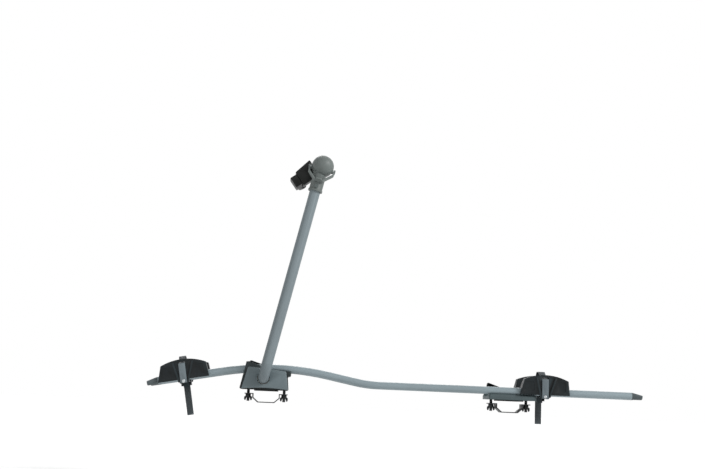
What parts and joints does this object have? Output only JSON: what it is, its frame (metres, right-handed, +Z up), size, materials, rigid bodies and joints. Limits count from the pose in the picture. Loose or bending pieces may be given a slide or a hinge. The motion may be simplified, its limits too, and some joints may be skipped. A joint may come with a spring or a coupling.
{
  "type": "roof mounted bike carrier",
  "caption": "Roof bike carrier: twin tube rail with two wheel trays and straps, and a folding arm whose clamp head grips the bicycle's frame tube.",
  "frame": {"origin": "centre of the seat on the front crossbar", "axes": "+X along the rail towards the rear wheel, +Y away from the clamp arm's side, +Z up"},
  "size_m": [1.3838, 0.2027, 0.7378],
  "materials": {
    "rail_paint": "satin",
    "arm_paint": "satin",
    "plug_plastic": "matte",
    "housing_plastic": "matte",
    "cover_plastic": "satin",
    "dark_cover_plastic": "matte",
    "rear_cover_plastic": "matte",
    "bracket_plastic": "matte",
    "bush_plastic": "satin",
    "seat_rubber": "matte",
    "zinc_steel": "satin",
    "wing_nut_plastic": "matte",
    "head_plastic": "satin",
    "jaw_plastic": "matte",
    "grip_rubber": "matte",
    "tray_plastic": "matte",
    "strap_plastic": "satin",
    "pawl_plastic": "matte"
  },
  "bodies": {
    "frame": {"rail_tube_near": "rail_paint", "rail_tube_far": "rail_paint", "front_plug_near": "plug_plastic", "front_plug_far": "plug_plastic", "rear_plug_near": "plug_plastic", "rear_plug_far": "plug_plastic", "base_housing": "housing_plastic", "base_near_cover": "cover_plastic", "base_far_cover": "dark_cover_plastic", "pivot_bush_near": "bush_plastic", "pivot_bush_far": "bush_plastic", "base_tube_screws": "zinc_steel", "front_seat_pad": "seat_rubber", "front_clamp_bolts": "zinc_steel", "rear_bracket": "bracket_plastic", "rear_far_cover": "rear_cover_plastic", "rear_tube_screws": "zinc_steel", "rear_seat_pad": "seat_rubber", "rear_clamp_bolts": "zinc_steel"},
    "arm": {"arm_tube": "arm_paint", "axle_plug": "bush_plastic", "axle_washer": "zinc_steel", "axle_bolt": "zinc_steel", "head_half_near": "head_plastic", "head_half_far": "head_plastic", "arm_bolt": "zinc_steel", "jaw_guide": "jaw_plastic", "inner_pad": "grip_rubber", "guide_screws": "zinc_steel"},
    "lever": {"clamp_lever": "head_plastic", "lever_pin": "zinc_steel"},
    "shoe": {"clamp_shoe": "zinc_steel"},
    "claw": {"outer_claw": "jaw_plastic", "outer_pad": "grip_rubber"},
    "front_tray_body": {"front_tray": "tray_plastic", "front_strap": "strap_plastic", "front_strap_rivet": "zinc_steel", "front_strap_lock": "tray_plastic", "front_pawl_pin": "zinc_steel"},
    "front_pawl": {"front_strap_pawl": "pawl_plastic"},
    "rear_tray_body": {"rear_tray": "tray_plastic", "rear_strap": "strap_plastic", "rear_strap_rivet": "zinc_steel", "rear_strap_lock": "tray_plastic", "rear_pawl_pin": "zinc_steel"},
    "rear_pawl": {"rear_strap_pawl": "pawl_plastic"},
    "front_stirrup_body": {"front_stirrup": "zinc_steel"},
    "front_nut_1": {"front_wing_nut_1": "wing_nut_plastic"},
    "front_nut_2": {"front_wing_nut_2": "wing_nut_plastic"},
    "rear_stirrup_body": {"rear_stirrup": "zinc_steel"},
    "rear_nut_1": {"rear_wing_nut_1": "wing_nut_plastic"},
    "rear_nut_2": {"rear_wing_nut_2": "wing_nut_plastic"}
  },
  "joints": [
    {"name": "arm_fold", "type": "hinge", "parent": "frame", "child": "arm", "pos_m": [-0.0085, 0, 0.03446], "axis": [0, 1, 0], "range_deg": [-25, 73]},
    {"name": "lever_turn", "type": "hinge", "parent": "arm", "child": "lever", "pos_m": [0.1226, -0.1, 0.62098], "axis": [-0.9759, 0, 0.2181], "range_deg": [0, 90]},
    {"name": "shoe_slide", "type": "slide", "parent": "arm", "child": "shoe", "axis": [0, 1, 0], "range_m": [-0.0012, 0]},
    {"name": "claw_slide", "type": "slide", "parent": "arm", "child": "claw", "axis": [-0.8121, 0, -0.5835], "range_m": [0, 0.028]},
    {"name": "front_tray_slide", "type": "slide", "parent": "frame", "child": "front_tray_body", "axis": [0.9826, 0, 0.1857], "range_m": [0, 0.03]},
    {"name": "front_pawl_turn", "type": "hinge", "parent": "front_tray_body", "child": "front_pawl", "pos_m": [-0.22577, 0.0125, 0.0176], "axis": [0.9826, 0, 0.1857], "range_deg": [-20, 0], "stiffness_Nm_per_rad": 0.02, "springref_deg": 11.46},
    {"name": "rear_tray_slide", "type": "slide", "parent": "frame", "child": "rear_tray_body", "axis": [1, 0, 0], "range_m": [0, 0.17]},
    {"name": "rear_pawl_turn", "type": "hinge", "parent": "rear_tray_body", "child": "rear_pawl", "pos_m": [0.776, 0.0125, 0.016], "axis": [1, 0, 0], "range_deg": [-20, 0], "stiffness_Nm_per_rad": 0.02, "springref_deg": 11.46},
    {"name": "front_stirrup_slide", "type": "slide", "parent": "frame", "child": "front_stirrup_body", "axis": [0, 0, 1], "range_m": [-0.012, 0]},
    {"name": "front_nut_1_turn", "type": "hinge", "parent": "front_stirrup_body", "child": "front_nut_1", "pos_m": [-0.05, 0, -0.0095], "axis": [0, 0, 1], "continuous": true},
    {"name": "front_nut_2_turn", "type": "hinge", "parent": "front_stirrup_body", "child": "front_nut_2", "pos_m": [0.05, 0, -0.0095], "axis": [0, 0, 1], "continuous": true},
    {"name": "rear_stirrup_slide", "type": "slide", "parent": "frame", "child": "rear_stirrup_body", "axis": [0, 0, 1], "range_m": [-0.012, 0]},
    {"name": "rear_nut_1_turn", "type": "hinge", "parent": "rear_stirrup_body", "child": "rear_nut_1", "pos_m": [0.635, 0, -0.0095], "axis": [0, 0, 1], "continuous": true},
    {"name": "rear_nut_2_turn", "type": "hinge", "parent": "rear_stirrup_body", "child": "rear_nut_2", "pos_m": [0.735, 0, -0.0095], "axis": [0, 0, 1], "continuous": true}
  ],
  "couplings": [
    {"joint": "shoe_slide", "follows": "lever_turn", "m_per_rad": -0.00076394}
  ]
}
